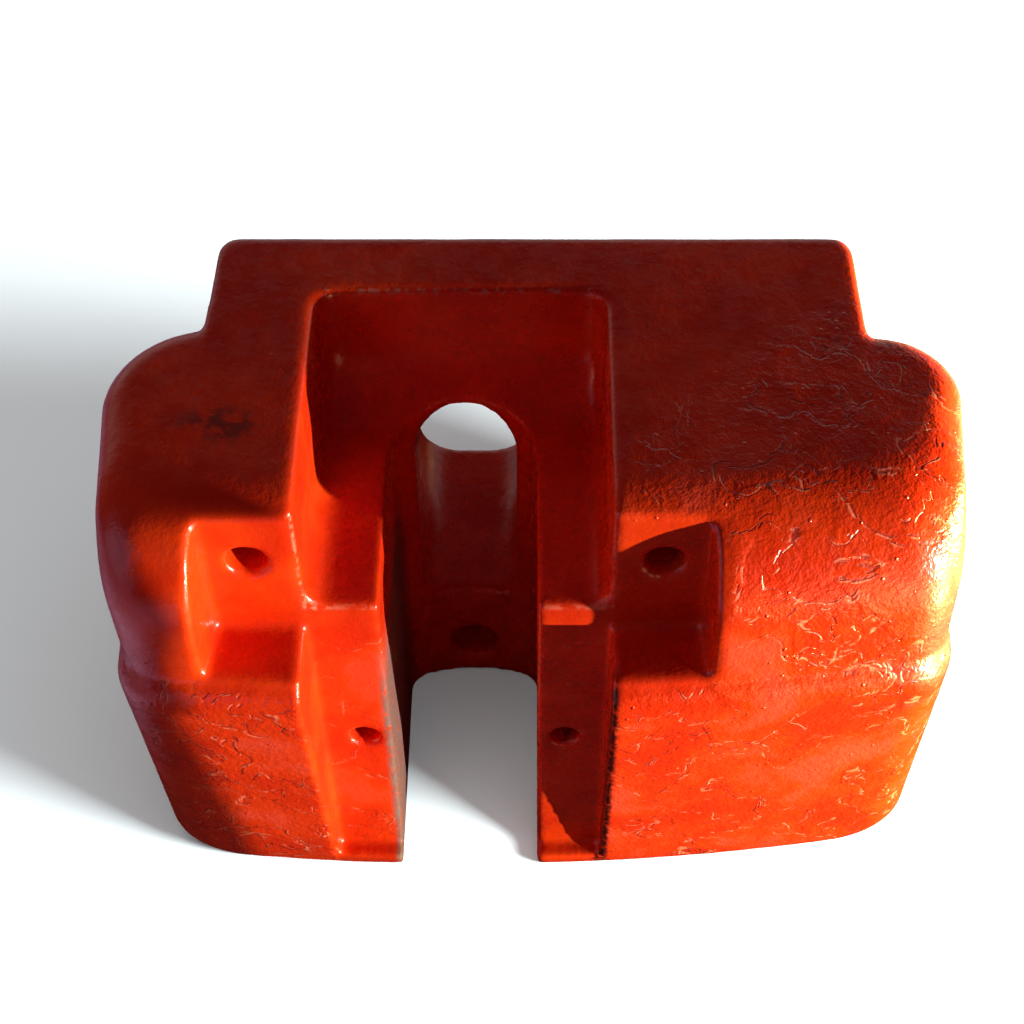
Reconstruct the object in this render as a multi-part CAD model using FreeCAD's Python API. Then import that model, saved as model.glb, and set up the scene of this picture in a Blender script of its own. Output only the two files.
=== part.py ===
import FreeCAD, Part
import math
import os

V = FreeCAD.Vector

# Ballast casting for the rear of a telehandler.  Millimetres, +Z up, -Y is the side seen by
# the viewer.  While it is being built y = 0 is the bolting plane behind the pockets and z = 0
# is the ground; at the end it moves to its bottom centre.

# Overall casting
HEIGHT = 527.0
BACK_Y = 415.0

# Reach of the body to the left and right of the rear block's middle, at its front corners.  The
# flanks spread by FLANK_SPREAD towards the back.  The two halves of the mould met at the step,
# and the upper one sat a little to the left.
UPPER_TOP_REACH = (351.0, 346.5)
UPPER_STEP_REACH = (346.0, 349.5)
LOWER_STEP_REACH = (352.0, 354.0)
LOWER_FOOT_REACH = (358.5, 367.0)
FLANK_SPREAD = (9.0, 9.0)

# Rear block that goes between the chassis rails
TENON_HALF_WIDTH = 283.0
TENON_BACK_HALF_WIDTH = 278.0
TENON_TOP_BACK_Y = 316.0
TENON_CORNER_R = 16.0

# Plan of the wide body
CROWN_R = 2430.0
FRONT_CORNER_R = (46.0, 50.0)
FRONT_CORNER_R_TOP = (62.0, 80.0)
SHOULDER_BACK_Y = (216.0, 206.0)
SHOULDER_CORNER_R = (88.0, 68.0)
FRONT_AT_TOP = -61.0
FRONT_AT_STEP = -63.5
TOP_FRONT_R = 91.0
TOP_SIDE_R = 26.0

# Lower blocks, a little proud of the upper body
LEDGE_Z = 380.0
LEDGE_R = 31.0
LEDGE_DROP = 40.0
LOWER_FRONT_TOP = -79.0
LOWER_FRONT_FOOT = -17.0
FOOT_SIDE_R = 46.0
FOOT_FRONT_R = 4.0

# Hitch side: everything here is centred on one axis, left of the body's middle
AXIS_X = -64.0
POCKET_HALF = 204.0
POCKET_DRAFT = 0.075
POCKET_R = 7.0
RECESS_HALF = 125.0
RECESS_BACK_Y = 249.0
RECESS_FLOOR_Z = 404.0
RECESS_BACK_R = 62.0
RECESS_SIDE_R = 20.0
SLOT_HALF = 66.0
SLOT_END_Y_TOP = 225.5
SLOT_END_Y_FOOT = 222.0
SLOT_END_R_TOP = 60.0
SLOT_END_R_FOOT = 24.0
SLOT_END_SAG_TOP = 6.0
SLOT_END_SAG_FOOT = 12.0
CHANNEL_HALF = 128.0
CHANNEL_FLOOR_Z = 24.0

# Tunnel through the rear wall, and the web below it
TUNNEL_FRONT_HALF = 47.0
TUNNEL_BACK_HALF = 58.0
TUNNEL_TOP_Z = 408.5
TUNNEL_FLOOR_Z = 140.0
TUNNEL_FLOOR_R_FRONT = 22.0
TUNNEL_FLOOR_R_BACK = 42.0
WEB_HOLE_R = 24.0
WEB_HOLE_Z = 51.0

# Bolt holes, right through along y
UPPER_BOLT_SPACING = 336.0
UPPER_BOLT_Z = 463.5
UPPER_BOLT_R = 16.5
LOWER_BOLT_SPACING = 182.0
LOWER_BOLT_Z = 208.0
LOWER_BOLT_R = 13.0

# Edge roundings left by the mould: the bay's upright front edges, and the pockets' top rims
EDGE_R = 7.0
TOP_EDGE_R = 5.0

# Cutting tools start this far in front of the bolting plane, clear of the whole body
TOOL_FRONT_Y = -200.0

# Faces of the three bodies that come closer than this are joined as one
JOIN_SLACK = 0.001


def arc(a, m, b):
    return Part.Arc(a, m, b).toShape()


def crown_corner(side, reach, front, corner_r):
    """Corner arc between the side (side = -1 or 1) and the crowned front: three plan points."""
    cy = front + CROWN_R
    cx = side * (reach - corner_r)
    dx = cx - AXIS_X
    y = cy - math.sqrt((CROWN_R - corner_r) ** 2 - dx * dx)
    ux = dx / (CROWN_R - corner_r)
    uy = (y - cy) / (CROWN_R - corner_r)
    mx = side + ux
    length = math.hypot(mx, uy)
    middle = (cx + corner_r * mx / length, y + corner_r * uy / length)
    return (side * reach, y), middle, (cx + corner_r * ux, y + corner_r * uy)


def rear_corner(side, reach, back, corner_r):
    """Corner arc at the back of the shoulder: three plan points, side first."""
    cx = side * (reach - corner_r)
    cy = back - corner_r
    q = corner_r * math.sqrt(0.5)
    return (side * reach, cy), (cx + side * q, cy + q), (cx, back)


def body_wire(z, reach, front, back, front_r, back_r):
    """Plan outline of the wide body at one height; reach, back and radii are (left, right)."""
    corners = []
    for k, side in enumerate((-1, 1)):
        plan = crown_corner(side, reach[k], front, front_r[k])
        plan += rear_corner(side, reach[k] + FLANK_SPREAD[k], back[k], back_r[k])
        corners.append([V(p[0], p[1], z) for p in plan])
    left, right = corners
    return Part.Wire([
        arc(left[5], left[4], left[3]),
        Part.makeLine(left[3], left[0]),
        arc(left[0], left[1], left[2]),
        arc(left[2], V(AXIS_X, front, z), right[2]),
        arc(right[2], right[1], right[0]),
        Part.makeLine(right[0], right[3]),
        arc(right[3], right[4], right[5]),
        Part.makeLine(right[5], left[5]),
    ])


def between(low, high, share):
    return low + (high - low) * share


def reach_at(low, high, share, inset):
    return [between(a, b, share) - inset for a, b in zip(low, high)]


def quarter_inset(drop, radius):
    """Inset of a quarter-round edge, at a drop below its flat."""
    if drop >= radius:
        return 0.0
    return radius - math.sqrt(radius * radius - (radius - drop) ** 2)


def smooth_loft(section, drops):
    return Part.makeLoft([section(d) for d in drops], True, False)


def upper_section(drop):
    """Shoulder outline at a drop below the top face."""
    share = drop / (HEIGHT - LEDGE_Z)
    side = quarter_inset(drop, TOP_SIDE_R)
    reach = reach_at(UPPER_TOP_REACH, UPPER_STEP_REACH, share, side)
    front = between(FRONT_AT_TOP, FRONT_AT_STEP, share) + quarter_inset(drop, TOP_FRONT_R)
    back = [y - side for y in SHOULDER_BACK_Y]
    back_r = [r - side for r in SHOULDER_CORNER_R]
    rise = max(0.0, 1 - drop / TOP_FRONT_R) ** 2
    front_r = [between(a, b, rise) for a, b in zip(FRONT_CORNER_R, FRONT_CORNER_R_TOP)]
    return body_wire(HEIGHT - drop, reach, front, back, front_r, back_r)


def upper_body():
    """Shoulders: drafted sides, a large rounding over the front, a smaller one over the sides."""
    drops = [TOP_SIDE_R * (1 - math.cos(math.radians(a))) for a in (0, 15, 30, 45, 60, 75, 90)]
    drops += [between(TOP_SIDE_R, TOP_FRONT_R, k / 6) for k in (1, 2, 3, 4, 5, 6)]
    foot = HEIGHT - LEDGE_Z + LEDGE_DROP + 20
    wall = Part.makeLoft([upper_section(TOP_FRONT_R), upper_section(foot)], True, True)
    return smooth_loft(upper_section, drops).fuse(wall)


def lower_section(z, side=0, front_inset=0):
    """Lower block outline at one height."""
    share = z / LEDGE_Z
    reach = reach_at(LOWER_FOOT_REACH, LOWER_STEP_REACH, share, side)
    front = between(LOWER_FRONT_FOOT, LOWER_FRONT_TOP, share) + front_inset
    return body_wire(z, reach, front, SHOULDER_BACK_Y, FRONT_CORNER_R, SHOULDER_CORNER_R)


def lower_body():
    """Front leaning back to the foot, sides rounded under, top edge rounded to the ledge."""
    def top(a):
        rest = 1 - math.sin(a)
        return lower_section(LEDGE_Z - LEDGE_DROP * (1 - math.cos(a)), LEDGE_R * rest, LEDGE_R * rest)

    def foot(a):
        rest = 1 - math.sin(a)
        return lower_section(FOOT_SIDE_R * (1 - math.cos(a)), FOOT_SIDE_R * rest, FOOT_FRONT_R * rest)
    angles = [math.radians(11.25 * k) for k in range(9)]
    wall = Part.makeLoft([lower_section(FOOT_SIDE_R), lower_section(LEDGE_Z - LEDGE_DROP)], True, True)
    return smooth_loft(top, angles).fuse([wall, smooth_loft(foot, angles)])


def tenon():
    """Rear block, a little narrower at its back, with a sloping top back."""
    front, back = SHOULDER_BACK_Y[0] / 2, BACK_Y
    points = [V(-TENON_HALF_WIDTH, front, 0), V(TENON_HALF_WIDTH, front, 0)]
    points += [V(TENON_BACK_HALF_WIDTH, back, 0), V(-TENON_BACK_HALF_WIDTH, back, 0)]
    block = Part.Face(Part.makePolygon(points + points[:1])).extrude(V(0, 0, HEIGHT))
    slope = BACK_Y - TENON_TOP_BACK_Y
    wedge = [(TENON_TOP_BACK_Y, HEIGHT), (BACK_Y + slope, HEIGHT - 2 * slope), (BACK_Y + slope, HEIGHT)]
    points = [V(-2 * TENON_HALF_WIDTH, y, z) for y, z in wedge]
    wide = V(4 * TENON_HALF_WIDTH, 0, 0)
    block = block.cut(Part.Face(Part.makePolygon(points + points[:1])).extrude(wide))
    corners = [e for e in block.Edges
               if abs(e.CenterOfMass.x) > TENON_BACK_HALF_WIDTH - 1
               and e.CenterOfMass.y > TENON_TOP_BACK_Y and e.CenterOfMass.z > 1]
    return block.makeFillet(TENON_CORNER_R, corners)


def pocket_tool():
    """Both pockets in one: open to the top, the front and the recess between them."""
    reach = 130.0
    wide = POCKET_HALF + reach * POCKET_DRAFT
    plan = [(-POCKET_HALF, 0), (POCKET_HALF, 0), (wide, -reach), (-wide, -reach)]
    points = [V(AXIS_X + x, y, LEDGE_Z) for x, y in plan]
    tool = Part.Face(Part.makePolygon(points + points[:1])).extrude(V(0, 0, 2 * HEIGHT))
    edges = [e for e in tool.Edges if e.BoundBox.YMax > -1e-3 and e.BoundBox.ZMin < HEIGHT]
    return tool.makeFillet(POCKET_R, edges)


def recess_tool():
    """Open bay above the slot, with a large rounding from floor to back wall."""
    r = RECESS_BACK_R
    y, z = RECESS_BACK_Y, RECESS_FLOOR_Z
    x = AXIS_X - RECESS_HALF
    k = r * math.sqrt(0.5)
    wire = Part.Wire([
        Part.makeLine(V(x, TOOL_FRONT_Y, z), V(x, y - r, z)),
        arc(V(x, y - r, z), V(x, y - r + k, z + r - k), V(x, y, z + r)),
        Part.makeLine(V(x, y, z + r), V(x, y, 2 * HEIGHT)),
        Part.makeLine(V(x, y, 2 * HEIGHT), V(x, TOOL_FRONT_Y, 2 * HEIGHT)),
        Part.makeLine(V(x, TOOL_FRONT_Y, 2 * HEIGHT), V(x, TOOL_FRONT_Y, z)),
    ])
    tool = Part.Face(wire).extrude(V(2 * RECESS_HALF, 0, 0))
    edges = [e for e in tool.Edges
             if abs(abs(e.CenterOfMass.x - AXIS_X) - RECESS_HALF) < 0.1
             and (e.CenterOfMass.z < z + r or e.CenterOfMass.y > y - 1)]
    return tool.makeFillet(RECESS_SIDE_R, edges)


def slot_wire(z, end_y, corner_r, sag):
    """Slot outline, open end at the front, arched inner end."""
    half = SLOT_HALF
    end_r = (half * half + sag * sag) / (2 * sag)
    cy = end_y - end_r
    y = cy + math.sqrt((end_r - corner_r) ** 2 - (half - corner_r) ** 2)
    ux = (half - corner_r) / (end_r - corner_r)
    uy = (y - cy) / (end_r - corner_r)
    length = math.hypot(1 + ux, uy)

    def at(side, px, py):
        return V(AXIS_X + side * px, py, z)
    start = (half, y)
    mid = (half - corner_r + corner_r * (1 + ux) / length, y + corner_r * uy / length)
    stop = (half - corner_r + corner_r * ux, y + corner_r * uy)
    return Part.Wire([
        Part.makeLine(at(-1, half, TOOL_FRONT_Y), at(-1, *start)),
        arc(at(-1, *start), at(-1, *mid), at(-1, *stop)),
        arc(at(-1, *stop), V(AXIS_X, end_y, z), at(1, *stop)),
        arc(at(1, *stop), at(1, *mid), at(1, *start)),
        Part.makeLine(at(1, *start), at(1, half, TOOL_FRONT_Y)),
        Part.makeLine(at(1, half, TOOL_FRONT_Y), at(-1, half, TOOL_FRONT_Y)),
    ])


def slot_tool():
    foot = slot_wire(-10, SLOT_END_Y_FOOT, SLOT_END_R_FOOT, SLOT_END_SAG_FOOT)
    head = slot_wire(RECESS_FLOOR_Z + 20, SLOT_END_Y_TOP, SLOT_END_R_TOP, SLOT_END_SAG_TOP)
    return Part.makeLoft([foot, head], True, True)


def channel_tool():
    """Both channels in one, in front of the bolting plane, closed at the foot."""
    corner = V(AXIS_X - CHANNEL_HALF, TOOL_FRONT_Y, CHANNEL_FLOOR_Z)
    return Part.makeBox(2 * CHANNEL_HALF, -TOOL_FRONT_Y, RECESS_FLOOR_Z - CHANNEL_FLOOR_Z, corner)


def tunnel_section(y, half, r):
    """Round-topped tunnel outline at one depth."""
    top = TUNNEL_TOP_Z - TUNNEL_FRONT_HALF
    low = TUNNEL_FLOOR_Z
    k = r * (1 - math.sqrt(0.5))

    def at(x, z):
        return V(AXIS_X + x, y, z)
    return Part.Wire([
        arc(at(-half, top), at(0, top + half), at(half, top)),
        Part.makeLine(at(half, top), at(half, low + r)),
        arc(at(half, low + r), at(half - k, low + k), at(half - r, low)),
        Part.makeLine(at(half - r, low), at(r - half, low)),
        arc(at(r - half, low), at(k - half, low + k), at(-half, low + r)),
        Part.makeLine(at(-half, low + r), at(-half, top)),
    ])


def tunnel_tool():
    """Tunnel through the rear wall, spreading towards the back."""
    depth = BACK_Y - SLOT_END_Y_FOOT
    sections = []
    for steps in (-0.5, 1.25):
        half = between(TUNNEL_FRONT_HALF, TUNNEL_BACK_HALF, steps)
        r = between(TUNNEL_FLOOR_R_FRONT, TUNNEL_FLOOR_R_BACK, steps)
        sections.append(tunnel_section(SLOT_END_Y_FOOT + steps * depth, half, r))
    return Part.makeLoft(sections, True, True)


def bore(x, z, radius):
    return Part.makeCylinder(radius, 3 * BACK_Y, V(x, -BACK_Y, z), V(0, 1, 0))


def bores():
    tools = [bore(AXIS_X, WEB_HOLE_Z, WEB_HOLE_R)]
    for side in (-0.5, 0.5):
        tools.append(bore(AXIS_X + side * UPPER_BOLT_SPACING, UPPER_BOLT_Z, UPPER_BOLT_R))
        tools.append(bore(AXIS_X + side * LOWER_BOLT_SPACING, LOWER_BOLT_Z, LOWER_BOLT_R))
    return tools


def on(value, target, slack=0.5):
    return abs(value - target) < slack


def edges_where(shape, test):
    """Edges whose every sampled point passes the test."""
    found = []
    for e in shape.Edges:
        if e.Length > 0.5 and all(test(p) for p in e.discretize(7)):
            found.append(e)
    return found


def rib_edge(p):
    return on(p.y, 0) and on(abs(p.x - AXIS_X), RECESS_HALF) and p.z > RECESS_FLOOR_Z


def pocket_top_edge(p):
    return on(p.y, 0) and p.z > HEIGHT - 27 and abs(p.x - AXIS_X) > RECESS_HALF - 5


def casting():
    body = upper_body().fuse([lower_body(), tenon()], JOIN_SLACK)
    tools = [pocket_tool(), recess_tool(), slot_tool(), channel_tool(), tunnel_tool()] + bores()
    body = body.cut(tools).removeSplitter().Solids[0]
    body = body.makeFillet(EDGE_R, edges_where(body, rib_edge))
    body = body.makeFillet(TOP_EDGE_R, edges_where(body, pocket_top_edge))
    return body.Solids[0]


def place(solid):
    """Move the bottom centre to the origin and say where axis and bolting plane came to lie."""
    box = solid.optimalBoundingBox(False, False)
    dx, dy = -(box.XMin + box.XMax) / 2, -(box.YMin + box.YMax) / 2
    solid.translate(V(dx, dy, -box.ZMin))
    print("axis x", round(AXIS_X + dx, 3), "bolting plane y", round(dy, 3))
    return solid


def main():
    os.makedirs("parts", exist_ok=True)
    solid = place(casting())
    solid.exportStep("parts/ballast_casting.step")
    box = solid.optimalBoundingBox(False, False)
    print("solids", len(solid.Solids), "valid", solid.isValid(), "volume", round(solid.Volume))
    print("box", box)


main()
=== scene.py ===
"""Looks of a cast ballast weight for a telehandler: thick red enamel over rough cast iron."""
import math

import bmesh
import bpy
import numpy as np
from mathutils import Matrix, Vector

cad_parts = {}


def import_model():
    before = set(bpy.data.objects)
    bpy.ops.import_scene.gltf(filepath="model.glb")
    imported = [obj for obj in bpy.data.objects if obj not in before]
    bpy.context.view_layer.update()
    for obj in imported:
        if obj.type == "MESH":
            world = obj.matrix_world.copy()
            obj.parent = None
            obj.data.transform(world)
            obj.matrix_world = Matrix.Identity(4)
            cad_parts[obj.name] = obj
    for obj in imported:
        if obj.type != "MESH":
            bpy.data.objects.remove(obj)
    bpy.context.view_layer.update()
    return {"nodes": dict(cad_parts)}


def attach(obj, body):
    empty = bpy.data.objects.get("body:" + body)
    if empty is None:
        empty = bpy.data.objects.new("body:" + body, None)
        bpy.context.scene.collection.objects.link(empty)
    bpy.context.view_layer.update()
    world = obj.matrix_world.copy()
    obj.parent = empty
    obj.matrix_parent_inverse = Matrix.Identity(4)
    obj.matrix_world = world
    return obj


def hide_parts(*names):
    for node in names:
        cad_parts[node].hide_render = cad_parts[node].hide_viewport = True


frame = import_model()

# Lengths in metres.  The hitch features are centred on AXIS_X; the bolting plane faces the viewer.
AXIS_X = -0.0679
PLANE_Y = -0.1726
TOP_Z = 0.527
LEDGE_Z = 0.380
SLOT_HALF = 0.066
BAY_DEPTH = 0.249
CHANNEL_HALF = 0.128
RECESS_HALF = 0.125
RECESS_FLOOR_Z = 0.404

VOXEL = 0.0032
TRIANGLES = 190000


# Colours

def linear(code):
    """Linear colour from a hex code in sRGB."""
    values = [int(code[i:i + 2], 16) / 255 for i in (1, 3, 5)]
    return [v / 12.92 if v <= 0.04045 else ((v + 0.055) / 1.055) ** 2.4 for v in values] + [1.0]


# Node helpers

def add(tree, kind, links=None, **settings):
    """New node; settings are its properties, links maps an input to a value or an output."""
    node = tree.nodes.new(kind)
    for name, value in settings.items():
        setattr(node, name, value)
    for name, value in (links or {}).items():
        if isinstance(value, bpy.types.NodeSocket):
            tree.links.new(value, node.inputs[name])
        else:
            node.inputs[name].default_value = value
    return node


def math_node(tree, operation, a, b=0.0, c=0.0):
    node = add(tree, "ShaderNodeMath", {0: a, 1: b, 2: c}, operation=operation)
    return node.outputs[0]


def noise(tree, coords, scale, detail=2.0, roughness=0.5, distortion=0.0):
    node = add(tree, "ShaderNodeTexNoise", {
        "Vector": coords, "Scale": scale, "Detail": detail, "Roughness": roughness,
        "Distortion": distortion})
    return node.outputs[0]


def remap(tree, value, low, high, to_low=0.0, to_high=1.0, smooth=True):
    kind = "SMOOTHSTEP" if smooth else "LINEAR"
    node = add(tree, "ShaderNodeMapRange", {
        "Value": value, "From Min": low, "From Max": high, "To Min": to_low, "To Max": to_high},
        interpolation_type=kind)
    return node.outputs[0]


def blend_colour(tree, share, a, b):
    node = add(tree, "ShaderNodeMix", data_type="RGBA")
    for index, value in ((0, share), (6, a), (7, b)):
        if isinstance(value, bpy.types.NodeSocket):
            tree.links.new(value, node.inputs[index])
        else:
            node.inputs[index].default_value = value
    return node.outputs[2]


def attribute(tree, name):
    return add(tree, "ShaderNodeAttribute", attribute_name=name).outputs["Fac"]


def zone(tree, name, pattern, low, high):
    """A marked zone, broken up by a pattern."""
    return math_node(tree, "MULTIPLY", attribute(tree, name), remap(tree, pattern, low, high))


# Enamel over cast iron

def kinked(tree, coords, cells):
    """Coordinates that slide a few millimetres from cell to cell, so that lines run in short kinks."""
    centred = add(tree, "ShaderNodeVectorMath", {0: cells.outputs["Color"], 1: (0.5, 0.5, 0.5)},
                  operation="SUBTRACT")
    jump = add(tree, "ShaderNodeVectorMath", {0: centred.outputs[0], "Scale": 0.007}, operation="SCALE")
    return add(tree, "ShaderNodeVectorMath", {0: coords, 1: jump.outputs[0]}, operation="ADD").outputs[0]


def band(tree, value, centre, half):
    """1 where the value is close to the centre, falling to 0 at half a width away."""
    away = math_node(tree, "ABSOLUTE", math_node(tree, "SUBTRACT", value, centre))
    return remap(tree, away, 0.0, half, 1.0, 0.0)


def flakes(tree, coords, cells, crazed):
    """Old coats that have scaled off in sheets: their steps, with painted shade and a shallow groove on
    one side of each edge and a painted highlight on the other.
    """
    bent = kinked(tree, coords, cells)
    chance = noise(tree, coords, 12.0, 1.0, 0.6)
    steps, flake_edge_groove_and_shade, flake_edge_highlight = 0.0, 0.0, 0.0
    for size, low, high in ((0.080, 0.44, 0.47), (0.036, 0.53, 0.50)):
        field = noise(tree, bent, 1.0 / size, 1.0)
        shown = math_node(tree, "MULTIPLY", remap(tree, chance, low, high), crazed)
        width = 0.00034 / size
        raised = remap(tree, field, 0.5 - width, 0.5 + width)
        steps = math_node(tree, "MULTIPLY_ADD", raised, shown, steps)
        # Painted shade on one side of the step's edge, painted highlight on the other
        dark = band(tree, field, 0.5 - width, 1.7 * width)
        pale = band(tree, field, 0.5 + width, 1.5 * width)
        flake_edge_groove_and_shade = math_node(tree, "MULTIPLY_ADD", dark, shown, flake_edge_groove_and_shade)
        flake_edge_highlight = math_node(tree, "MULTIPLY_ADD", pale, shown, flake_edge_highlight)
    return steps, flake_edge_groove_and_shade, flake_edge_highlight


def blisters(tree, cells):
    """Blisters and grains of sand under the paint, 2 to 4 mm wide."""
    separate = add(tree, "ShaderNodeSeparateColor", {0: cells.outputs["Color"]})
    dome = remap(tree, cells.outputs["Distance"], 0.05, 0.20, 1.0, 0.0)
    chosen = remap(tree, separate.outputs[1], 0.80, 0.82)
    return math_node(tree, "MULTIPLY", dome, chosen)


def red_enamel():
    """Glossy red-orange machine enamel, several coats thick, on sand-cast iron.

    The eye sees a pebbly gloss, sheets scaled off the right shoulder and the lower blocks, and iron
    rubbed bare in the slot. The colour also carries painted light: a painted sheen in pale patches on
    the crazed zone, painted shade and painted highlights along the flakes' edges, and painted
    highlights along the rib edges and the bay's top back edge.
    """
    mat = bpy.data.materials.new("red_machine_enamel")
    mat.use_nodes = True
    tree = mat.node_tree
    tree.nodes.clear()
    coords = add(tree, "ShaderNodeTexCoord").outputs["Object"]
    crazed = attribute(tree, "crazed")
    edge = attribute(tree, "rough_edge_and_highlight")
    broad = noise(tree, coords, 12.0, 3.0, 0.6)
    mottle = noise(tree, coords, 60.0, 3.0, 0.6)
    fine = noise(tree, coords, 150.0, 3.0, 0.6)

    # Cells about 10 mm wide: they hold the blisters and kink the flakes' edges
    cells = add(tree, "ShaderNodeTexVoronoi", {"Vector": coords, "Scale": 100.0})
    steps, flake_edge_groove_and_shade, flake_edge_highlight = flakes(tree, coords, cells, crazed)
    flake_edge_highlight = math_node(tree, "MULTIPLY", flake_edge_highlight, remap(tree, mottle, 0.46, 0.56))
    dotted = math_node(tree, "MAXIMUM", crazed, attribute(tree, "blistered"))
    dots = math_node(tree, "MULTIPLY", blisters(tree, cells), math_node(tree, "ADD", dotted, 0.15))
    # Sand grain 8 mm and finer, deeper where the coats have crazed and on crumbled edges
    grain = noise(tree, coords, 140.0, 2.0, 0.75)
    depth = math_node(tree, "MULTIPLY_ADD", crazed, 0.0006, 0.0005)
    depth = math_node(tree, "MULTIPLY_ADD", edge, 0.0014, depth)
    height = math_node(tree, "MULTIPLY", grain, depth)
    for part, size in ((steps, 0.00035), (flake_edge_groove_and_shade, -0.00012), (dots, 0.0008)):
        height = math_node(tree, "MULTIPLY_ADD", part, size, height)
    bump = add(tree, "ShaderNodeBump", {"Height": height, "Strength": 1.0, "Distance": 1.0})

    colour = blend_colour(tree, remap(tree, broad, 0.35, 0.65), linear("#cc2b07"), linear("#e03d0a"))
    # Pale pink patches on the crazed zone: a painted sheen, where the relief would catch the sky
    painted_sheen = math_node(tree, "MULTIPLY", remap(tree, broad, 0.53, 0.68), crazed)
    worn = math_node(tree, "MULTIPLY", attribute(tree, "bare"), remap(tree, fine, 0.30, 0.42))
    iron = blend_colour(tree, remap(tree, mottle, 0.4, 0.6), linear("#76493d"), linear("#68544d"))
    for share, most, tone in (
            # painted sheen on the crazed zone
            (painted_sheen, 0.15, linear("#d0666a")),
            # painted shade, then painted highlight, along the flakes' edges
            (flake_edge_groove_and_shade, 0.7, linear("#7c1006")),
            (flake_edge_highlight, 0.6, linear("#f09a78")),
            (zone(tree, "smudged", mottle, 0.42, 0.62), 0.7, linear("#2a0c0c")),
            # darker ragged line along the top front of the right channel's outer edge
            (zone(tree, "ragged_dark_rim", fine, 0.42, 0.50), 1.0, linear("#480a08")),
            (worn, 1.0, iron),
            # pale painted highlight along the bay's top back edge
            (zone(tree, "rough_edge_and_highlight", fine, 0.50, 0.58), 1.0, linear("#c08a78")),
            # painted highlight along the rib fronts and the recess floor's front edge
            (zone(tree, "painted_edge_highlight", fine, 0.42, 0.58), 0.6, linear("#f0a080"))):
        colour = blend_colour(tree, math_node(tree, "MULTIPLY", share, most), colour, tone)
    rough = remap(tree, mottle, 0.3, 0.7, 0.22, 0.34)
    rough = math_node(tree, "MULTIPLY_ADD", worn, 0.4, rough)
    rough = math_node(tree, "MULTIPLY_ADD", flake_edge_groove_and_shade, 0.25, rough)

    shader = add(tree, "ShaderNodeBsdfPrincipled", {
        "Base Color": colour, "Roughness": rough, "IOR": 1.5, "Metallic": 0.0,
        "Normal": bump.outputs[0]})
    add(tree, "ShaderNodeOutputMaterial", {"Surface": shader.outputs[0]})
    return mat


# Casting mesh

def converted(obj):
    """Mesh of an object with its modifiers worked in."""
    graph = bpy.context.evaluated_depsgraph_get()
    graph.update()
    return bpy.data.meshes.new_from_object(obj.evaluated_get(graph), depsgraph=graph)


def settle(obj):
    mesh = converted(obj)
    obj.modifiers.clear()
    obj.data = mesh
    return mesh


def closed_copy(source, name):
    mesh = bpy.data.meshes.new(name)
    bm = bmesh.new()
    bm.from_mesh(source.data)
    bmesh.ops.remove_doubles(bm, verts=bm.verts, dist=2e-5)
    bmesh.ops.recalc_face_normals(bm, faces=bm.faces)
    bm.to_mesh(mesh)
    bm.free()
    obj = bpy.data.objects.new(name, mesh)
    bpy.context.scene.collection.objects.link(obj)
    return obj


def wavy_group():
    """Geometry nodes: push the surface in and out a little, as a sand mould leaves it."""
    tree = bpy.data.node_groups.new("cast_waviness", "GeometryNodeTree")
    tree.interface.new_socket("Geometry", in_out="INPUT", socket_type="NodeSocketGeometry")
    tree.interface.new_socket("Geometry", in_out="OUTPUT", socket_type="NodeSocketGeometry")
    start = add(tree, "NodeGroupInput")
    place = add(tree, "GeometryNodeInputPosition").outputs[0]
    normal = add(tree, "GeometryNodeInputNormal").outputs[0]
    broad = math_node(tree, "MULTIPLY", noise(tree, place, 14.0, 2.0), 0.0012)
    fine = math_node(tree, "MULTIPLY_ADD", noise(tree, place, 50.0, 1.0), 0.0003, broad)
    amount = math_node(tree, "SUBTRACT", fine, 0.00075)
    offset = add(tree, "ShaderNodeVectorMath", {0: normal, "Scale": amount}, operation="SCALE")
    moved = add(tree, "GeometryNodeSetPosition", {"Geometry": start.outputs[0],
                                                  "Offset": offset.outputs[0]})
    add(tree, "NodeGroupOutput", {"Geometry": moved.outputs[0]})
    return tree


def triangle_count(mesh):
    return sum(len(p.vertices) - 2 for p in mesh.polygons)


def casting_mesh():
    obj = closed_copy(frame["nodes"]["ballast_casting"], "casting")
    remesh = obj.modifiers.new("even", "REMESH")
    remesh.mode = "VOXEL"
    remesh.voxel_size = VOXEL
    smooth = obj.modifiers.new("round", "SMOOTH")
    smooth.factor = 0.5
    smooth.iterations = 9
    waves = obj.modifiers.new("waves", "NODES")
    waves.node_group = wavy_group()
    mesh = settle(obj)
    thin = obj.modifiers.new("thin", "DECIMATE")
    thin.ratio = min(1.0, TRIANGLES / triangle_count(mesh))
    mesh = settle(obj)
    mesh.shade_smooth()
    return obj


def step(values, low, high):
    t = np.clip((values - low) / (high - low), 0, 1)
    return t * t * (3 - 2 * t)


def store(mesh, name, values):
    layer = mesh.attributes.new(name, "FLOAT", "POINT")
    layer.data.foreach_set("value", values.astype(np.float32))


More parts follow.
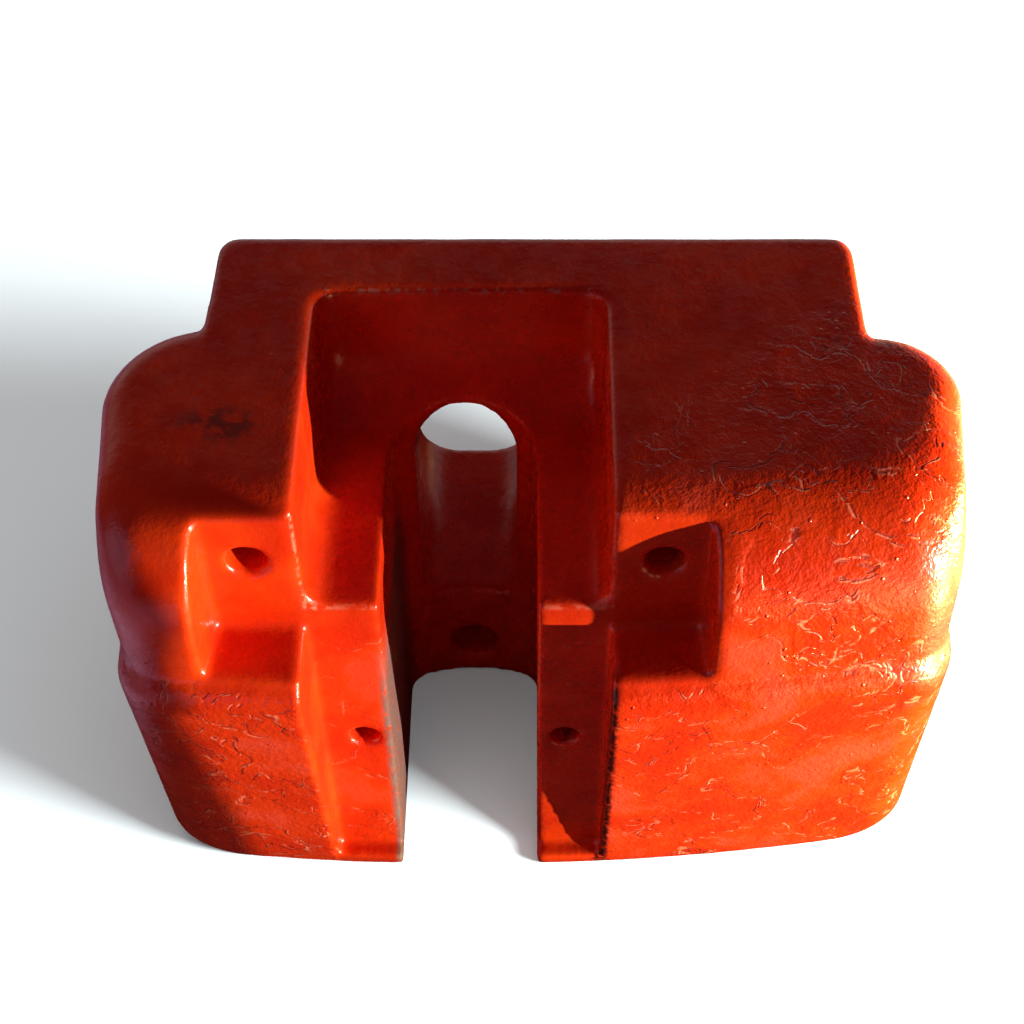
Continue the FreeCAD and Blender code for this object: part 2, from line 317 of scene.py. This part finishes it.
def mark_zones(mesh):
    """Where the coats are crazed, where they are rubbed through, and the bay's crumbly top edge, which
    carries a painted highlight like the rib edges.
    """
    co = np.zeros(len(mesh.vertices) * 3, np.float32)
    mesh.vertices.foreach_get("co", co)
    x, y, z = co.reshape(-1, 3).T
    aside = np.abs(x - AXIS_X)
    right = step(x, 0.00, 0.12) * step(-y, -0.10, 0.02) * step(x - y, 0.14, 0.22)
    lower = step(-z, -0.385, -0.365) * step(-y, 0.10, 0.16) * 0.9
    left = step(-x, 0.28, 0.33) * step(-y, -0.12, 0.0) * step(-z, -0.45, -0.38) * 0.6
    pocket = step(-aside, -0.222, -0.212) * step(-y, -0.003 - PLANE_Y, 0.001 - PLANE_Y)
    pocket = pocket * step(z, LEDGE_Z - 0.004, LEDGE_Z + 0.001)
    channel = step(-aside, -0.133, -0.129)
    clear = (1 - pocket) * (1 - channel * step(-y, -0.002 - PLANE_Y, 0.002 - PLANE_Y))
    ledge = step(z, 0.366, 0.374) * step(-z, -0.39, -0.384) * step(-aside, -0.215, -0.205)
    clear = clear * (1 - ledge)
    store(mesh, "crazed", np.clip(np.maximum(np.maximum(right, lower), left) * clear, 0, 1))
    wall = step(-np.abs(x - (AXIS_X - SLOT_HALF)), -0.008, -0.003)
    store(mesh, "bare", wall * step(-z, -0.36, -0.27) * step(-y, -0.06, 0.0))
    # A darker ragged line along the top front of the right channel's outer edge
    rim = step(-np.abs(x - (AXIS_X + CHANNEL_HALF)), -0.007, -0.004) * step(-y, 0.176, 0.182)
    store(mesh, "ragged_dark_rim", rim * step(-z, -0.385, -0.370) * step(-y - 0.13 * z, 0.166, 0.172))
    blisters = step(z, 0.345, 0.36) * step(-z, -0.40, -0.385) * step(x, 0.13, 0.16) * step(-y, 0.15, 0.19)
    store(mesh, "blistered", blisters)
    smudge = step(-np.hypot((x + 0.258) / 0.045, (y + 0.080) / 0.026), -1.0, -0.4)
    store(mesh, "smudged", smudge * step(z, 0.49, 0.51))
    # Painted highlight along the rib fronts and the recess floor's front edge, at the bolting plane
    at_plane = step(-np.abs(y - PLANE_Y), -0.0045, -0.0020)
    rib = step(-np.abs(aside - RECESS_HALF), -0.0045, -0.0020) * step(z, 0.400, 0.404) * at_plane
    sill = step(-np.abs(z - RECESS_FLOOR_Z), -0.0045, -0.0020) * step(-aside, -0.125, -0.120) * at_plane
    store(mesh, "painted_edge_highlight", np.maximum(rib, sill))
    # The bay's top back edge: coarse grain in the bump, and a pale painted highlight in the colour
    brim = step(-np.hypot(y - (PLANE_Y + BAY_DEPTH), z - TOP_Z), -0.006, -0.002)
    store(mesh, "rough_edge_and_highlight", brim * step(-aside, -0.125, -0.110))


# Stage, light and camera

def floor():
    """Pale floor that fades to white 2 m away.

    The enamel mirrors it bright to the right, dusky to the left and dark in front.
    """
    mesh = bpy.data.meshes.new("floor")
    s = 12.0
    mesh.from_pydata([(-s, -s, 0), (s, -s, 0), (s, s, 0), (-s, s, 0)], [], [(0, 1, 2, 3)])
    obj = bpy.data.objects.new("floor", mesh)
    bpy.context.scene.collection.objects.link(obj)
    mat = bpy.data.materials.new("pale_floor")
    mat.use_nodes = True
    tree = mat.node_tree
    tree.nodes.clear()
    path = add(tree, "ShaderNodeLightPath").outputs
    coords = add(tree, "ShaderNodeTexCoord").outputs["Object"]
    across = add(tree, "ShaderNodeSeparateXYZ", {0: coords}).outputs[0]
    mirrored = blend_colour(tree, remap(tree, across, 0.50, 0.78), linear("#121212"), linear("#e4cc98"))
    mirrored = blend_colour(tree, remap(tree, across, -0.44, -0.66), mirrored, linear("#80708c"))
    tone = blend_colour(tree, path["Is Glossy Ray"], linear("#4a2826"), mirrored)
    tone = blend_colour(tree, path["Is Camera Ray"], tone, linear("#c8d4d6"))
    shader = add(tree, "ShaderNodeBsdfPrincipled", {
        "Base Color": tone, "Roughness": 0.9, "Specular IOR Level": 0.0})
    reach = add(tree, "ShaderNodeVectorMath", {0: coords}, operation="LENGTH").outputs["Value"]
    far = math_node(tree, "MULTIPLY", remap(tree, reach, 1.5, 2.6), path["Is Camera Ray"])
    white = add(tree, "ShaderNodeEmission", {"Color": (1, 1, 1, 1), "Strength": 1.0})
    faded = add(tree, "ShaderNodeMixShader", {0: far, 1: shader.outputs[0], 2: white.outputs[0]})
    add(tree, "ShaderNodeOutputMaterial", {"Surface": faded.outputs[0]})
    mesh.materials.append(mat)
    return obj


def aim(obj, place, target):
    obj.location = place
    toward = Vector(target) - Vector(place)
    obj.rotation_euler = toward.to_track_quat("-Z", "Y").to_euler()


def lamp(name, kind, power, colour, place, target, **settings):
    data = bpy.data.lights.new(name, kind)
    data.energy = power
    data.color = colour
    for key, value in settings.items():
        setattr(data, key, value)
    obj = bpy.data.objects.new(name, data)
    bpy.context.scene.collection.objects.link(obj)
    aim(obj, place, target)
    return obj


def link_only(light, obj, state):
    """Light reaches only this object, or all but this object."""
    group = bpy.data.collections.new(light.name + "_" + state.lower())
    group.objects.link(obj)
    light.light_linking.receiver_collection = group
    group.collection_objects[0].light_linking.link_state = state


def flag(turn):
    """Card that keeps the key light off the left front corner; nothing sees it but that light."""
    edge = [(-0.60, -0.02), (-0.285, -0.02), (-0.345, 0.33), (-0.338, 0.40), (-0.329, 0.48),
            (-0.318, 0.519), (-0.245, 0.521), (-0.245, 0.60), (-0.60, 0.60)]
    across = Vector((math.cos(turn), math.sin(turn), 0))
    toward = Vector((math.sin(turn), -math.cos(turn), 0))
    points = [across * s + toward * 0.55 + Vector((0, 0, z)) for s, z in edge]
    mesh = bpy.data.meshes.new("flag")
    mesh.from_pydata([tuple(p) for p in points], [], [tuple(range(len(points)))])
    obj = bpy.data.objects.new("flag", mesh)
    bpy.context.scene.collection.objects.link(obj)
    obj.visible_camera = obj.visible_glossy = obj.visible_diffuse = obj.visible_transmission = False
    return obj


def lets_past(light, obj):
    """This object casts no shadow in this light."""
    group = bpy.data.collections.new(light.name + "_passes")
    group.objects.link(obj)
    light.light_linking.blocker_collection = group
    group.collection_objects[0].light_linking.link_state = "EXCLUDE"


def lights(ground):
    turn = math.radians(62)
    card = flag(turn)
    away = 6.0
    place = (away * math.sin(turn), -away * math.cos(turn), 0.3 + away * math.tan(math.radians(0.2)))
    key = lamp("key", "SUN", 7.4, (1.0, 0.93, 0.84), place, (0, 0, 0.3), angle=math.radians(1.0))
    side = lamp("side", "AREA", 540.0, (1.0, 0.8, 0.25), (2.6, -0.05, 0.25), (0.3, -0.05, 0.25), size=0.5)
    warm = lamp("low_warm", "AREA", 9.0, (1.0, 0.8, 0.3), (0.85, -0.42, 0.12), (0.3, -0.2, 0.2), size=0.2)
    cool = lamp("cool_fill", "AREA", 6.0, (0.7, 0.65, 1.0), (-2.2, -1.0, 1.0), (-0.3, 0, 0.3), size=1.6)
    for light in (key, side, warm, cool):
        link_only(light, ground, "EXCLUDE")
    beside = lamp("floor_light", "AREA", 640.0, (1, 1, 1), (2.7, -1.5, 2.2), (0, 0, 0), size=1.3)
    above = lamp("floor_fill", "AREA", 120.0, (1, 1, 1), (0.0, -0.6, 3.4), (0, 0, 0), size=4.0)
    for light in (beside, above):
        link_only(light, ground, "INCLUDE")
    for light in (side, warm, cool, beside, above):
        lets_past(light, card)


def world():
    """Dim warm room with a paler band low behind the object; the camera sees it white."""
    scene = bpy.context.scene
    scene.world = bpy.data.worlds.new("studio")
    scene.world.use_nodes = True
    tree = scene.world.node_tree
    tree.nodes.clear()
    ray = add(tree, "ShaderNodeLightPath").outputs["Is Camera Ray"]
    toward = add(tree, "ShaderNodeTexCoord").outputs["Generated"]
    axes = add(tree, "ShaderNodeSeparateXYZ", {0: toward}).outputs
    low = remap(tree, math_node(tree, "ABSOLUTE", axes[2]), 0.3, 0.6, 1.0, 0.0)
    behind = math_node(tree, "MULTIPLY", remap(tree, axes[1], 0.3, 0.8), low)
    tone = blend_colour(tree, behind, (0.100, 0.020, 0.022, 1), (0.62, 0.60, 0.58, 1))
    tone = blend_colour(tree, ray, tone, (1, 1, 1, 1))
    back = add(tree, "ShaderNodeBackground", {"Color": tone, "Strength": 1.0})
    add(tree, "ShaderNodeOutputWorld", {"Surface": back.outputs[0]})


def camera():
    data = bpy.data.cameras.new("camera")
    data.sensor_width = 36.0
    data.lens = 64.34
    data.shift_x = -0.0225
    data.clip_end = 60.0
    obj = bpy.data.objects.new("camera", data)
    obj.location = (-0.00387, -1.08427, 1.6134)
    obj.rotation_euler = (math.radians(40), 0, 0)
    bpy.context.scene.collection.objects.link(obj)
    bpy.context.scene.camera = obj


def main():
    camera()
    casting = casting_mesh()
    mark_zones(casting.data)
    casting.data.materials.clear()
    casting.data.materials.append(red_enamel())
    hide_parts("ballast_casting")
    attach(casting, "root")
    ground = floor()
    world()
    lights(ground)
    bpy.context.scene.view_settings.view_transform = "Standard"


main()
